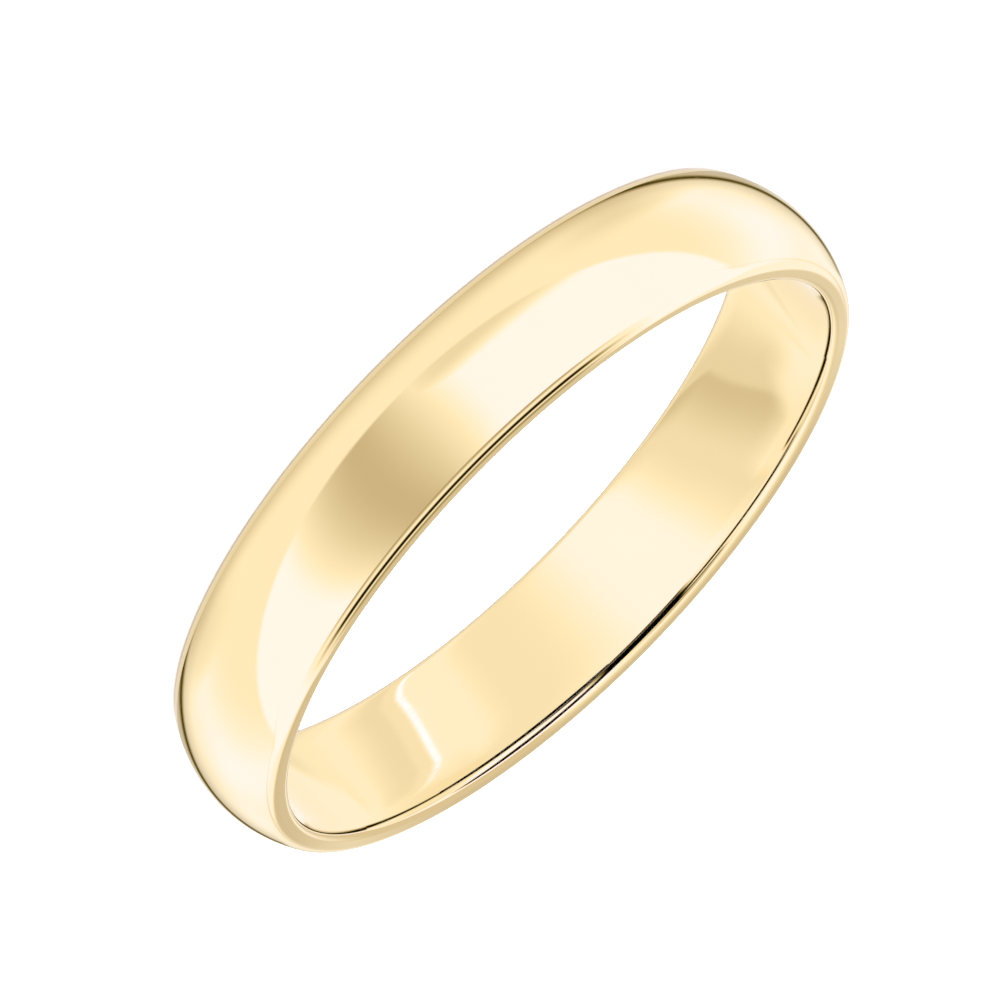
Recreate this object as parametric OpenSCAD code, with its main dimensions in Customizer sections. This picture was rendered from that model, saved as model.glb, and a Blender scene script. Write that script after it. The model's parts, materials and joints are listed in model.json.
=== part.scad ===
// A plain D-shape wedding band: a domed outside, a straight bore that rolls away
// from the finger at both ends, and a narrow flat rim on each side. It lies flat,
// with its axis along +Z and its origin at the middle of the bore.

/* [Band] */
// Inner diameter, which sets the finger size
inner_d = 20; // [15.3:0.1:22.2]
// Width of the band along the finger
band_w = 4; // [3.4:0.1:6]
// Thickness at the middle of the width
crown_t = 1.3; // [1.2:0.05:1.6]
// Thickness at the rims, before their edges are rounded
rim_t = 0.7; // [0.7:0.05:0.85]

/* [Edges] */
// Radius that rounds the outer edge of each rim
outer_edge_r = 0.4; // [0.2:0.05:0.4]
// Radius that rounds the inner edge of each rim
inner_edge_r = 0.2; // [0.1:0.05:0.25]

/* [Bore] */
// Width at each end over which the bore rolls away from the finger
roll_w = 0.6; // [0.4:0.05:0.7]
// Radius of that roll, seen in section
roll_r = 1.6; // [1.6:0.1:2.4]

/* [Hidden] */

// Straight steps that each round stretch of the section is drawn with
dome_steps = 24;
edge_steps = 8;
roll_steps = 6;
turn_steps = 360;

half_w = band_w / 2;
bore_r = inner_d / 2;
crown_r = bore_r + crown_t;

// The dome is a single arc, highest at the middle and down to rim_t at the sides.
dome_rise = crown_t - rim_t;
dome_r = (half_w ^ 2 + dome_rise ^ 2) / (2 * dome_rise);
dome_c = [crown_r - dome_r, 0];

// The outer edge round touches the dome from inside, and the flat of the rim.
outer_z = half_w - outer_edge_r;
outer_c = dome_c + [sqrt((dome_r - outer_edge_r) ^ 2 - outer_z ^ 2), outer_z];
dome_angle = asin(outer_z / (dome_r - outer_edge_r));

// The roll starts where the straight bore ends, and the inner edge round touches
// both the roll and the rim.
roll_c = [bore_r + roll_r, half_w - roll_w];
inner_rise = roll_w - inner_edge_r;
inner_c = roll_c + [-sqrt((roll_r - inner_edge_r) ^ 2 - inner_rise ^ 2), inner_rise];
roll_angle = asin(inner_rise / (roll_r - inner_edge_r));

// Points along an arc after its first one, which the stretch before it ends on
function arc(centre, radius, from, to, steps) =
    [for (i = [1:steps]) let (a = from + (to - from) * i / steps)
        centre + radius * [cos(a), sin(a)]];

// A section's points reflected to the other side of the band, in reverse order
function other_side(points) =
    [for (i = [len(points) - 1 : -1 : 0]) [points[i].x, -points[i].y]];

// The section of the metal: radius along X and height along Y
module section() {
    upper = concat(
        arc(dome_c, dome_r, 0, dome_angle, dome_steps / 2),
        arc(outer_c, outer_edge_r, dome_angle, 90, edge_steps),
        [[inner_c.x, half_w]],
        arc(inner_c, inner_edge_r, 90, 180 - roll_angle, edge_steps),
        arc(roll_c, roll_r, 180 - roll_angle, 180, roll_steps)
    );
    polygon(concat([[crown_r, 0]], upper, other_side(upper)));
}

module band() {
    color("gold") rotate_extrude($fn = turn_steps) section();
}

band();
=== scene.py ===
import json
import math

import bpy
from mathutils import Matrix, Vector


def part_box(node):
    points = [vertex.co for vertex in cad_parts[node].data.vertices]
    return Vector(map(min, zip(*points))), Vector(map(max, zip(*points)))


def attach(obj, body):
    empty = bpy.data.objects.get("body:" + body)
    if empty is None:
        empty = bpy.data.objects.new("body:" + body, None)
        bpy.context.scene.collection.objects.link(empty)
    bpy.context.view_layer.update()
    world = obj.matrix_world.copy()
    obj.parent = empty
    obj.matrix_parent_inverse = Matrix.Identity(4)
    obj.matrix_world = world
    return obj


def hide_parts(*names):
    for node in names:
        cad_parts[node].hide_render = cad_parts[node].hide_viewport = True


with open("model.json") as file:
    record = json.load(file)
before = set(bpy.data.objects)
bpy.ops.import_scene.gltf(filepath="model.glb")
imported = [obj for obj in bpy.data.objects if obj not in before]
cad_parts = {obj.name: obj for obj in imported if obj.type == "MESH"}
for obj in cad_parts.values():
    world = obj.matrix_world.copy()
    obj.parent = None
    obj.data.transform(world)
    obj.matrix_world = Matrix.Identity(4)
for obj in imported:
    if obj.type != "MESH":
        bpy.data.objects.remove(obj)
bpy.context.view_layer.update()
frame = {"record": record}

MM = 0.001

# ---------------------------------------------------------------- the band's section
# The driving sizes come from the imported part; the edge radii and the roll repeat part.scad's.
low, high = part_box("band")
bore = next(m for m in frame["record"]["mounts"] if m["name"] == "finger_bore")
CROWN_R = high.x
HALF_W = high.z
BORE_R = bore["dims"]["r_mm"] * MM
STRAIGHT_HALF = bore["dims"]["length_mm"] * MM / 2
RIM_T = 0.7 * MM
OUTER_EDGE_R = 0.4 * MM
INNER_EDGE_R = 0.2 * MM
ROLL_R = 1.6 * MM

# How finely the mesh follows it
DOME_STEPS = 48
EDGE_STEPS = 16
ROLL_STEPS = 12
FLAT_STEPS = 6
STRAIGHT_STEPS = 8
TURN_STEPS = 600

# ---------------------------------------------------------------- camera
VIEW_ELEVATION = math.radians(19.1)
VIEW_ROLL = math.radians(134.3)
VIEW_DISTANCE = 361.6 * MM
VIEW_AIM = Vector((0.02, 0, -0.572)) * MM
LENS = 477.4


def arc(centre, radius, start, end, steps):
    """Points along an arc in the section plane, after its first one."""
    angles = [start + (end - start) * i / steps for i in range(1, steps + 1)]
    return [(centre[0] + radius * math.cos(a), centre[1] + radius * math.sin(a)) for a in angles]


def line(start, end, steps):
    """Points along a straight stretch, after its first one."""
    return [(start[0] + (end[0] - start[0]) * i / steps, start[1] + (end[1] - start[1]) * i / steps)
            for i in range(1, steps + 1)]


def upper_section():
    """The section's outline from the crown, over the upper rim, to the middle of the bore."""
    rise = CROWN_R - BORE_R - RIM_T
    dome_r = (HALF_W ** 2 + rise ** 2) / (2 * rise)
    dome_c = (CROWN_R - dome_r, 0)
    outer_z = HALF_W - OUTER_EDGE_R
    outer_c = (dome_c[0] + math.sqrt((dome_r - OUTER_EDGE_R) ** 2 - outer_z ** 2), outer_z)
    dome_angle = math.asin(outer_z / (dome_r - OUTER_EDGE_R))
    roll_c = (BORE_R + ROLL_R, STRAIGHT_HALF)
    inner_rise = HALF_W - STRAIGHT_HALF - INNER_EDGE_R
    inner_c = (roll_c[0] - math.sqrt((ROLL_R - INNER_EDGE_R) ** 2 - inner_rise ** 2),
               HALF_W - INNER_EDGE_R)
    roll_angle = math.asin(inner_rise / (ROLL_R - INNER_EDGE_R))
    points = [(CROWN_R, 0)]
    points += arc(dome_c, dome_r, 0, dome_angle, DOME_STEPS)
    points += arc(outer_c, OUTER_EDGE_R, dome_angle, math.pi / 2, EDGE_STEPS)
    points += line(points[-1], (inner_c[0], HALF_W), FLAT_STEPS)
    points += arc(inner_c, INNER_EDGE_R, math.pi / 2, math.pi - roll_angle, EDGE_STEPS)
    points += arc(roll_c, ROLL_R, math.pi - roll_angle, math.pi, ROLL_STEPS)
    points += line(points[-1], (BORE_R, 0), STRAIGHT_STEPS)
    return points


def turned_mesh(name, section, steps):
    """A closed section turned round +Z, as one smooth mesh."""
    angles = [2 * math.pi * i / steps for i in range(steps)]
    turns = [(math.cos(a), math.sin(a)) for a in angles]
    count = len(section)
    vertices = [(r * c, r * s, z) for c, s in turns for r, z in section]
    faces = [(i * count + j, (i + 1) % steps * count + j,
              (i + 1) % steps * count + (j + 1) % count, i * count + (j + 1) % count)
             for i in range(steps) for j in range(count)]
    mesh = bpy.data.meshes.new(name)
    mesh.from_pydata(vertices, [], faces)
    mesh.shade_smooth()
    return mesh


def add_object(name, data, material=None):
    obj = bpy.data.objects.new(name, data)
    bpy.context.scene.collection.objects.link(obj)
    if material:
        data.materials.append(material)
    return obj


class Shader:
    """Adds nodes to a tree, so that a shader reads as a list of formulas."""

    def __init__(self, tree):
        tree.nodes.clear()
        self.tree = tree

    def node(self, kind, **inputs):
        made = self.tree.nodes.new(kind)
        for name, value in inputs.items():
            self.set(made.inputs[name.replace("_", " ")], value)
        return made

    def set(self, socket, value):
        if isinstance(value, bpy.types.NodeSocket):
            self.tree.links.new(value, socket)
        else:
            socket.default_value = value

    def math(self, operation, *values):
        made = self.tree.nodes.new("ShaderNodeMath")
        made.operation = operation
        for socket, value in zip(made.inputs, values):
            self.set(socket, value)
        return made.outputs[0]

    def ease(self, value, start, end, low=0.0, high=1.0):
        """Runs smoothly from low to high while value runs from start to end."""
        made = self.tree.nodes.new("ShaderNodeMapRange")
        made.interpolation_type = "SMOOTHSTEP"
        for socket, given in zip(made.inputs, (value, start, end, low, high)):
            self.set(socket, given)
        return made.outputs[0]

    def hump(self, value, centre, half_width, height=1.0):
        """A smooth hump of that height at centre, down to 0 at half_width to each side."""
        away = self.math("ABSOLUTE", self.math("SUBTRACT", value, centre))
        return self.ease(away, 0, half_width, height, 0)

    def add(self, first, *others):
        for other in others:
            first = self.math("ADD", first, other)
        return first

    def times(self, first, *others):
        for other in others:
            first = self.math("MULTIPLY", first, other)
        return first

    def mix(self, factor, first, second):
        """The number first where factor is 0, second where it is 1."""
        made = self.tree.nodes.new("ShaderNodeMix")
        for index, value in ((0, factor), (2, first), (3, second)):
            self.set(made.inputs[index], value)
        return made.outputs[0]

    def blend(self, factor, first, second, way="MIX"):
        """The same for two colours."""
        made = self.tree.nodes.new("ShaderNodeMix")
        made.data_type = "RGBA"
        made.blend_type = way
        for index, value in ((0, factor), (6, first), (7, second)):
            self.set(made.inputs[index], value)
        return made.outputs[2]

    def split(self, vector):
        return self.node("ShaderNodeSeparateXYZ", Vector=vector).outputs

    def join(self, x, y, z):
        return self.node("ShaderNodeCombineXYZ", X=x, Y=y, Z=z).outputs[0]

    def dot(self, first, second):
        return self.add(*[self.times(a, b) for a, b in zip(first, second)])

    def place(self):
        """Where a point is on its object, as x, y and z in mm."""
        axes = self.split(self.node("ShaderNodeTexCoord").outputs["Object"])
        return [self.math("DIVIDE", axis, MM) for axis in axes]

    def distance(self, x, y):
        """How far that point is from the middle."""
        return self.math("SQRT", self.add(self.times(x, x), self.times(y, y)))

    def azimuth(self, x, y):
        """Degrees round +Z, from 0 at the front, -Y, through 90 at -X."""
        return self.times(self.math("ARCTAN2", self.times(x, -1.0), self.times(y, -1.0)), 180 / math.pi)


# ---------------------------------------------------------------- studio light
# Below, angles are in degrees and sizes in mm. A level is a brightness: about 1 for the table.
# The light's colour at each level is warm where it is dim, and cool in the bright panels.
LIGHT_TINT = (
    (0.00, (0.00, 0.00, 0.00)),
    (0.06, (0.06, 0.045, 0.01)),
    (0.20, (0.24, 0.20, 0.07)),
    (0.57, (0.63, 0.57, 0.47)),
    (0.84, (0.87, 0.84, 0.79)),
    (1.00, (1.01, 1.00, 0.99)),
    (1.08, (1.10, 1.08, 1.27)),
    (1.16, (1.19, 1.16, 1.70)),
    (1.24, (1.30, 1.24, 2.00)),
)
TINT_SCALE = 2.0
BLACK = 0.0
OUTLINE_LEVEL = 0.05
FLAT_LEVEL = 0.61
TABLE_LEVEL = 1.01
PANEL_LEVEL = 1.16

# The panels in front lean forward, and the dull oval behind the band lies below it
PANEL_LEAN = 44
OVAL_DOWN = 50
OVAL_HALF_LENGTH = 0.69
OVAL_HALF_WIDTH = 0.49
OVAL_TAPER = 0.12
FLAT_PATCH = (-172, 24)
FLAT_PATCH_REACH = (16, 6)

# The places of the cards round the band: its bore, its rims' height, and where its rolls start
BORE_MM = BORE_R / MM
RIM_MM = HALF_W / MM
LAND_MM = STRAIGHT_HALF / MM
SLEEVE_R = BORE_MM - 0.005
CARD_OVER_RIM = RIM_MM + 1.0
CARD_STEPS = 360
STRIP_R = 9.2
STRIP_REACH = (20, 130)
RAMP_REACH = (-150, 150)
RIM_REACH = (-50, 42)
FAR_RIM_REACH = (102, 258)

# How much lower than it starts the light comes across the bore, at its widest
BORE_DROP = 2 * BORE_MM * math.tan(VIEW_ELEVATION)

# The wall sees the sleeve across a chord, at this many times the angle its light turns through
CHORD_TURN = 1.5

# The panels that the bore sees, as where each change of level starts and ends, in degrees that
# the light turns through, and how large it is
BORE_PANELS = (
    (-120, -90, -0.20),
    (-84, -79.5, -0.15),
    (-79, -54, 0.24),
    (-52, -24, 0.24),
    (-8, 28, -0.185),
    (40, 54, 0.11),
    (71.5, 75, -0.12),
    (78, 82, -0.07),
    (85, 104, 0.17),
    (107, 120, -0.035),
)


def towards(azimuth, elevation):
    """The direction at that azimuth and elevation, as a unit vector."""
    turn = math.radians(azimuth)
    rise = math.radians(elevation)
    return -math.sin(turn) * math.cos(rise), -math.cos(turn) * math.cos(rise), math.sin(rise)


def tinted(shader, level):
    """The light's colour at a level, divided by TINT_SCALE."""
    ramp = shader.node("ShaderNodeValToRGB")
    shader.set(ramp.inputs[0], shader.math("DIVIDE", level, LIGHT_TINT[-1][0]))
    elements = ramp.color_ramp.elements
    while len(elements) < len(LIGHT_TINT):
        elements.new(0.5)
    for element, (stop, colour) in zip(elements, LIGHT_TINT):
        element.position = stop / LIGHT_TINT[-1][0]
        element.color = [c / TINT_SCALE for c in colour] + [1]
    return ramp.outputs[0]


def studio_world():
    """Soft light by direction: two tall panels in front of the band with a gap between them, over
    a pale table, with a dull oval behind and below the band."""
    world = bpy.data.worlds.new("studio")
    world.use_nodes = True
    s = Shader(world.node_tree)
    x, y, z = s.split(s.node("ShaderNodeTexCoord").outputs["Generated"])
    front = s.times(y, -1.0)
    side = s.math("ABSOLUTE", s.add(x, 0.02))
    azimuth = s.azimuth(x, y)
    round_by = s.math("ABSOLUTE", azimuth)
    elevation = s.times(s.math("ARCSINE", z), 180 / math.pi)

    # The panels have a soft gap between them, and the one towards -X fades downwards
    gap = s.hump(azimuth, -20.0, 40.0, 0.6)
    fade = s.times(s.ease(elevation, -18, -36), s.ease(azimuth, -14, 20), 0.32)
    panels = s.math("SUBTRACT", PANEL_LEVEL, s.math("MAXIMUM", gap, fade))

    # The table is lighter to each side, where its far part has a dim patch, and dims again behind
    table = s.add(
        TABLE_LEVEL,
        s.times(s.hump(round_by, 120, 26, 0.1), s.ease(elevation, -36, -28)),
        s.times(s.hump(azimuth, 105, 40, -0.18), s.hump(elevation, -42, 14)),
        s.times(s.hump(azimuth, -125, 40, -0.14), s.hump(elevation, -44, 14)),
        s.times(s.ease(round_by, 135, 160, 0, -0.25), s.ease(elevation, -5, -20)),
        s.times(s.ease(round_by, 110, 135), s.ease(elevation, -26, -6), 0.07),
        s.times(s.ease(azimuth, -148, -164), s.ease(azimuth, -180, -166), -0.1),
    )

    # The two meet at a plane through the band that leans forward
    lean = math.radians(PANEL_LEAN)
    height = s.add(s.times(z, math.cos(lean)), s.times(front, math.sin(lean)))
    level = s.mix(s.ease(height, -0.025, 0.025), table, panels)

    # The oval has a thin dark edge, which fades out at its top, and a soft shadow round it
    down = math.radians(OVAL_DOWN)
    along = s.add(s.times(front, -math.sin(down)), s.times(z, math.cos(down)))
    wide = s.math("DIVIDE", side, s.math("SUBTRACT", OVAL_HALF_WIDTH, s.times(along, OVAL_TAPER)))
    long = s.math("DIVIDE", along, OVAL_HALF_LENGTH)
    oval = s.distance(wide, long)
    behind = s.ease(s.add(s.times(front, -math.cos(down)), s.times(z, -math.sin(down))), 0, 0.1)
    shadow = s.times(s.ease(oval, 1.4, 1.05), s.ease(along, 0.4, -0.45, 0.4, 1))
    level = s.times(level, s.math("SUBTRACT", 1.0, s.times(shadow, behind, 0.38)))
    behind = s.times(behind, s.ease(elevation, -9, -15))
    dull = s.ease(elevation, -24, -17, 0.55, 0.9)
    level = s.mix(s.times(s.ease(oval, 1.0, 0.9), behind), level, dull)
    level = s.mix(s.times(s.hump(oval, 1.0, 0.13), behind), level, OUTLINE_LEVEL)

    # Overhead is a soft dark ring, and behind is a dim patch that the flat of the rim reflects
    ring = s.times(s.hump(z, 0.9, 0.07), s.ease(side, 0.15, 0.35))
    level = s.math("SUBTRACT", level, s.times(ring, 0.5))
    patch = s.dot((x, y, z), towards(*FLAT_PATCH))
    patch_edges = [math.cos(math.radians(angle)) for angle in FLAT_PATCH_REACH]
    level = s.mix(s.ease(patch, *patch_edges), level, FLAT_LEVEL)

    background = s.node("ShaderNodeBackground", Color=tinted(s, level), Strength=TINT_SCALE)
    output = s.node("ShaderNodeOutputWorld")
    s.set(output.inputs["Surface"], background.outputs[0])
    bpy.context.scene.world = world


def card_material(name, level_of, gold_reflection_of=None, solid_of=None):
    """Glows on its front, at level_of(shader, azimuth, radius, height). Its light takes on the band's
    own colour, as a painted reflection of the band's gold, as far as the next function says, and it is
    there as far as solid_of says."""
    material = bpy.data.materials.new(name)
    material.use_nodes = True
    s = Shader(material.node_tree)
    x, y, z = s.place()
    where = s.azimuth(x, y), s.distance(x, y), z
    colour = tinted(s, level_of(s, *where))
    # Painted reflection: the light is tinted with the band's gold where the bore would see the band
    # itself
    if gold_reflection_of:
        colour = s.blend(gold_reflection_of(s, *where), colour, GOLD, "MULTIPLY")
    glow = s.node("ShaderNodeEmission", Color=colour, Strength=TINT_SCALE)
    clear = s.node("ShaderNodeNewGeometry").outputs["Backfacing"]
    if solid_of:
        clear = s.math("MAXIMUM", clear, s.math("SUBTRACT", 1.0, solid_of(s, *where)))
    sides = s.node("ShaderNodeMixShader", Fac=clear)
    s.set(sides.inputs[1], glow.outputs[0])
    s.set(sides.inputs[2], s.node("ShaderNodeBsdfTransparent").outputs[0])
    output = s.node("ShaderNodeOutputMaterial")
    s.set(output.inputs["Surface"], sides.outputs[0])
    return material


def add_card(name, edges, level_of, reach=(-180, 180), gold_reflection_of=None, solid_of=None):
    """A one-sided card that only reflections see, turned round +Z over that range of azimuths.
    edges(azimuth) gives its two edges, each a radius and a height; its front is on the left of
    the line from the first to the second."""
    turns = [reach[0] + (reach[1] - reach[0]) * i / CARD_STEPS for i in range(CARD_STEPS + 1)]
    vertices = [(-r * MM * math.sin(math.radians(a)), -r * MM * math.cos(math.radians(a)), z * MM)
                for a in turns for r, z in edges(a)]
    faces = [(2 * i, 2 * i + 2, 2 * i + 3, 2 * i + 1) for i in range(CARD_STEPS)]
    mesh = bpy.data.meshes.new(name)
    mesh.from_pydata(vertices, [], faces)
    card = add_object(name, mesh, card_material(name, level_of, gold_reflection_of, solid_of))
    card.visible_camera = False
    card.visible_diffuse = False
    card.visible_shadow = False


def plain_edges(first, second):
    """Two edges that stay the same all the way round."""
    return lambda azimuth: (first, second)


def bore_light(s, azimuth, radius, height):
    """What the bore reflects. A sleeve just inside it stands for the light that comes up through
    the band, so that the bore doesn't mirror itself."""
    turn = s.times(azimuth, 1 / CHORD_TURN)
    away = s.math("ABSOLUTE", turn)

    # How high on the wall this light is seen. The panels' edges lean there, and bend at its rolls
    half_turn = s.times(turn, math.pi / 360)
    wall_height = s.add(height, s.times(s.math("COSINE", half_turn), BORE_DROP))
    spread = s.add(
        s.ease(wall_height, -LAND_MM, 1.8, 0, s.ease(azimuth, -60, 60, 0.2, 0.11)),
        s.ease(wall_height, LAND_MM, 5.0, 0, 0.1),
        s.ease(wall_height, -0.5, -13.0, 0, s.ease(azimuth, -60, 60, 0, 0.13)),
        s.ease(wall_height, 0.9, 2.2, 0, s.ease(azimuth, -60, 60, 0, 0.35)),
    )
    turn = s.math("DIVIDE", turn, s.add(1.0, s.times(spread, s.ease(away, 120, 104))))
    changes = [s.ease(turn, start, end, 0, change) for start, end, change in BORE_PANELS]
    bright_line = s.hump(turn, 71.5, 2.6, 0.25)
    level = s.add(1.0, bright_line, *changes)

    # The two ends of the bore see the sleeve at the back, and higher up, where it is plainer
    round_by = s.math("ABSOLUTE", azimuth)
    seen_at = s.add(wall_height, s.ease(azimuth, -130, -155, 0, 0.9))
    plain = s.times(s.ease(seen_at, 0.8, 2.0), s.ease(round_by, 90, 105))
    sideways = s.times(s.math("SINE", s.times(azimuth, math.pi / 180)), -0.05)
    level = s.mix(plain, level, s.add(1.0, sideways, s.ease(round_by, 140, 180, 0, 0.06)))

    # A dark line goes round the back under the rim, a little lower and thinner towards -X, and
    # the front of the sleeve's upper edge is dark too
    minus_x = s.ease(azimuth, 0, 1)
    line = s.mix(minus_x, 1.15, 0.95)
    half_width = s.mix(minus_x, 0.73, 0.6)
    off_line = s.math("ABSOLUTE", s.math("SUBTRACT", height, line))
    dark = s.math("MINIMUM", s.ease(off_line, 0, half_width, 1.3, 0), 1.0)
    shown = s.ease(round_by, 112, 120)
    top = s.times(s.ease(azimuth, -35, -25), s.ease(azimuth, 30, 20), s.ease(height, 1.6, 2.0))
    return s.mix(s.math("MAXIMUM", s.times(dark, shown), top), level, BLACK)


def bore_gold_reflection(s, azimuth, radius, height):
    """The two ends of the bore see mostly more gold, so the sleeve's light there is partly gold: a
    painted reflection of the band in its own bore.
    """
    away = s.math("ABSOLUTE", azimuth)
    return s.times(s.ease(height, -3.8, -3.0), s.ease(away, 88, 100), s.ease(away, 165, 120), 0.25)


def strip_edges(azimuth):
    """A dark strip in front of the sleeve, which takes the line under the rim on to the front."""
    along = (azimuth - STRIP_REACH[0]) / (STRIP_REACH[1] - STRIP_REACH[0])
    low_edge = -0.1 + 1.5 * (1 - along) ** 4 + 0.6 * along ** 2
    high_edge = 1.3 + 0.75 * (1 - along ** 2) ** 2
    return (STRIP_R, low_edge), (STRIP_R, high_edge)


def ramp_light(s, azimuth, radius, height):
    """What the bore's upper roll reflects over the near rim: black round the front, with a bright
    wedge in it towards -X, and a thin dark line that goes on from it towards +X."""
    # The shapes follow how far round the band the light lands, and how steeply it comes down
    turn = s.math("DIVIDE", azimuth, s.add(1.0, s.math("DIVIDE", 5.2, radius)))
    run = s.add(radius, s.times(s.math("COSINE", s.times(turn, math.pi / 360)), BORE_MM))
    rise = s.times(s.math("ARCTAN2", s.math("SUBTRACT", height, 1.75), run), 180 / math.pi)
    below_wedge = s.math("SUBTRACT", rise, s.ease(turn, 14, 58, 5.5, 0.5))
    above_wedge = s.math("SUBTRACT", rise, s.ease(turn, 25, 60, 8.6, 7.0))
    wedge = s.times(s.ease(turn, 14, 24), s.ease(below_wedge, -0.7, 0.7),
                    s.ease(above_wedge, 0.7, -0.7))
    block = s.times(s.ease(turn, -24, -16), s.ease(turn, 84, 70), s.math("SUBTRACT", 1.0, wedge))
    corner = s.times(s.ease(turn, -42, -36), s.ease(turn, -16, -24), s.ease(rise, 10.5, 12.5))
    off_line = s.math("SUBTRACT", rise, s.math("SUBTRACT", 8.2, s.times(turn, turn, 1 / 37 ** 2)))
    line = s.times(s.hump(off_line, 0, 2.8, 1.6), s.ease(turn, 10, -10), s.ease(turn, -88, -76))
    dark = s.math("MINIMUM", s.add(block, corner, line), 1.0)
    ends = s.ease(s.math("ABSOLUTE", azimuth), 92, 112)
    bright = s.add(1.06, s.times(s.ease(turn, 8, 30), 0.1), s.times(ends, -0.18))
    return s.mix(dark, bright, BLACK)


def rim_light(s, azimuth, radius, height):
    """What the near rim reflects from above: bright and dark bands that run along it."""
    bands = s.add(
        s.ease(radius, 11.3, 12.2, 0, -0.66),
        s.times(s.hump(radius, 10.77, 0.5), -1.4),
        s.ease(radius, 10.28, 10.08, 0, -0.72),
        s.ease(radius, 9.7, 8.95, 0, 0.35),
    )
    return s.add(1.07, s.times(bands, s.ease(azimuth, -45, -28), s.ease(azimuth, 37, 20)))


def rim_solid(s, azimuth, radius, height):
    """The near rim's card fades in from its ends."""
    return s.times(s.ease(azimuth, -50, -42), s.ease(azimuth, 42, 34))


def no_light(s, azimuth, radius, height):
    """The strip is black all over."""
    return BLACK


def far_rim_light(s, azimuth, radius, height):
    """What the far rim reflects, close above it: the edge of the bore, and the flat outside it."""
    away = s.math("ABSOLUTE", azimuth)
    edge = s.ease(radius, 9.2, 10.6, 1.08, 0.75)
    plus_x = s.times(s.ease(azimuth, -170, -158), s.ease(azimuth, 0, -1))
    edge = s.mix(plus_x, edge, 0.68)
    edge = s.mix(s.ease(away, 128, 108), edge, 0.8)
    flat = s.add(FLAT_LEVEL, s.hump(away, 122, 30, 0.19))
    return s.mix(s.ease(radius, 10.9, 11.5), edge, flat)


def far_rim_solid(s, azimuth, radius, height):
    """The far rim's card fades in from its ends."""
    return s.ease(s.math("ABSOLUTE", azimuth), 102, 126)


def foot_light(s, azimuth, radius, height):
    """What the bore's lower edge reflects, close under it."""
    return s.ease(radius, 10.0, 10.8, 0.9, 0.8)


def add_floor():
    """A pale floor under the band, which the band doesn't reflect."""
    material = bpy.data.materials.new("pale_floor")
    material.use_nodes = True
    s = Shader(material.node_tree)
    paint = s.node("ShaderNodeBsdfDiffuse", Color=(0.95, 0.95, 0.95, 1))
    output = s.node("ShaderNodeOutputMaterial")
    s.set(output.inputs["Surface"], paint.outputs[0])
    half = 4.0
    mesh = bpy.data.meshes.new("floor")
    corners = [(-half, -half), (half, -half), (half, half), (-half, half)]
    mesh.from_pydata([(x, y, low.z) for x, y in corners], [], [(0, 1, 2, 3)])
    floor = add_object("floor", mesh, material)
    floor.visible_glossy = False


def add_overhead_light():
    """Lights the floor evenly. The band doesn't reflect it."""
    lamp = bpy.data.lights.new("overhead", "AREA")
    lamp.shape = "DISK"
    lamp.size = 3.0
    lamp.energy = 120
    light = add_object("overhead", lamp)
    light.location = (0, 0, 1.5)
    light.visible_glossy = False
    light.visible_camera = False


def add_camera():
    """Looks from the front and above at VIEW_AIM, rolled as in the photo."""
    data = bpy.data.cameras.new("camera")
    data.lens = LENS
    data.clip_start = 0.01
    data.clip_end = 20
    camera = add_object("camera", data)
    back = Vector((0, -math.cos(VIEW_ELEVATION), math.sin(VIEW_ELEVATION)))
    right = Vector((1, 0, 0))
    turn = Matrix((right, back.cross(right), back)).transposed().to_4x4()
    place = Matrix.Translation(VIEW_AIM + back * VIEW_DISTANCE)
    camera.matrix_world = place @ turn @ Matrix.Rotation(VIEW_ROLL, 4, "Z")
    bpy.context.scene.camera = camera


# ---------------------------------------------------------------- gold
GOLD = (0.995, 0.816, 0.476, 1)
WORN_GOLD = (0.985, 0.804, 0.464, 1)

# How often each kind of mark repeats per mm, along it and across it
WHEEL_LINES = (0.3, 25.0)
SCRATCHES = (0.7, 30.0)
SCRATCH_SLOPES = (0.6, -1.1)
CLOUDS = 0.35
POLISH_DEPTH = 0.00002 * MM


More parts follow.
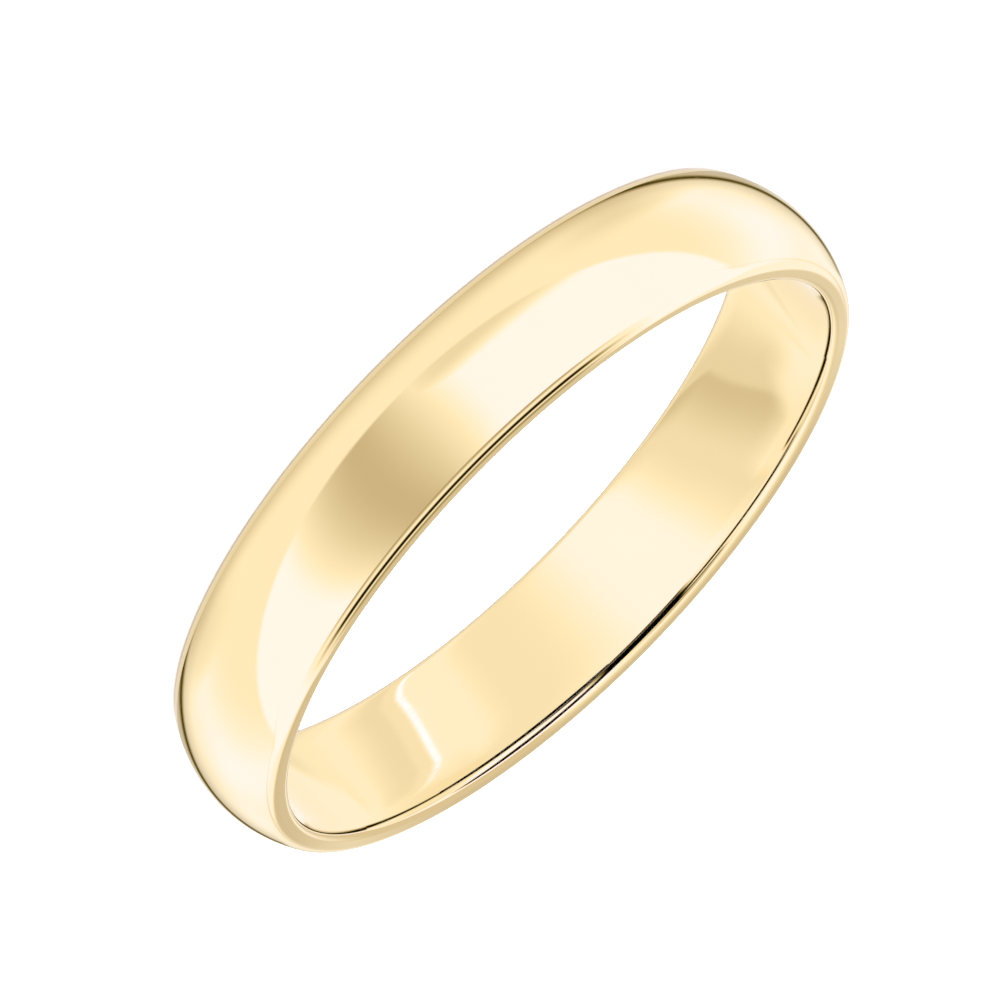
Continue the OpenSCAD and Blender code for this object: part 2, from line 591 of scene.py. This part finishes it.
def gold():
    """Polished 14k gold, with the faint marks of polishing and of wear."""
    material = bpy.data.materials.new("polished_gold")
    material.use_nodes = True
    s = Shader(material.node_tree)
    x, y, z = s.place()
    radius = s.distance(x, y)

    # Lines left by the polishing wheel: 0.04 mm wide and a few mm long, round the band
    along, across = WHEEL_LINES
    grain = s.node("ShaderNodeTexNoise", Scale=1.0, Detail=2.0)
    grain.noise_dimensions = "4D"
    s.set(grain.inputs["Vector"], s.join(s.times(x, along), s.times(y, along), s.times(z, across)))
    s.set(grain.inputs["W"], s.times(radius, across))
    lines = grain.outputs[0]

    # Hairline scratches from wear, 0.02 mm wide, in two directions
    along, across = SCRATCHES
    scratches = []
    for slope in SCRATCH_SLOPES:
        crosswise = s.add(s.times(z, across), s.times(s.add(x, y), across * slope))
        lengthwise = s.times(s.math("SUBTRACT", x, y), along)
        grain = s.node("ShaderNodeTexNoise", Scale=1.0, Detail=0.0)
        s.set(grain.inputs["Vector"], s.join(crosswise, lengthwise, s.times(z, along)))
        scratches.append(s.ease(grain.outputs[0], 0.70, 0.76))
    scratches = s.add(*scratches)

    # Handling dulls it in clouds a few mm across, and most along the rims
    clouds = s.node("ShaderNodeTexNoise", Scale=CLOUDS, Detail=3.0, Vector=s.join(x, y, z)).outputs[0]
    rim_wear = s.ease(s.math("ABSOLUTE", z), 1.7, 1.95)
    roughness = s.add(0.028, s.times(lines, 0.012), s.times(clouds, 0.012), s.times(scratches, 0.05),
                      s.times(rim_wear, clouds, 0.02))

    relief = s.add(lines, s.times(scratches, -2.0))
    bump = s.node("ShaderNodeBump", Strength=1.0, Distance=POLISH_DEPTH, Height=relief)

    metal = s.node("ShaderNodeBsdfPrincipled", Metallic=1.0, Roughness=roughness)
    s.set(metal.inputs["Normal"], bump.outputs[0])
    s.set(metal.inputs["Base Color"], s.blend(clouds, GOLD, WORN_GOLD))
    output = s.node("ShaderNodeOutputMaterial")
    s.set(output.inputs["Surface"], metal.outputs[0])
    return material


def add_band():
    """The band itself, with its lower half a mirror image of its upper half."""
    upper = upper_section()
    lower = [(r, -z) for r, z in reversed(upper[1:-1])]
    band = add_object("polished_band", turned_mesh("polished_band", upper + lower, TURN_STEPS), gold())
    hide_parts("band")
    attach(band, "root")


add_camera()
add_floor()
add_overhead_light()
studio_world()
add_card("bore_sleeve", plain_edges((SLEEVE_R, -40), (SLEEVE_R, RIM_MM + 0.05)), bore_light,
         gold_reflection_of=bore_gold_reflection)
add_card("rim_strip", strip_edges, no_light, STRIP_REACH)
add_card("rim_ramp", plain_edges((10.3, RIM_MM + 0.1), (100, 29.5)), ramp_light, RAMP_REACH)
add_card("rim_card", plain_edges((12.3, CARD_OVER_RIM), (8.9, CARD_OVER_RIM)), rim_light,
         RIM_REACH, solid_of=rim_solid)
add_card("far_rim_card", plain_edges((13.6, CARD_OVER_RIM), (8.6, CARD_OVER_RIM)), far_rim_light,
         FAR_RIM_REACH, solid_of=far_rim_solid)
add_card("bore_foot", plain_edges((10.0, -RIM_MM - 0.15), (10.9, -RIM_MM - 0.15)), foot_light)
add_band()
bpy.context.scene.view_settings.view_transform = "Standard"
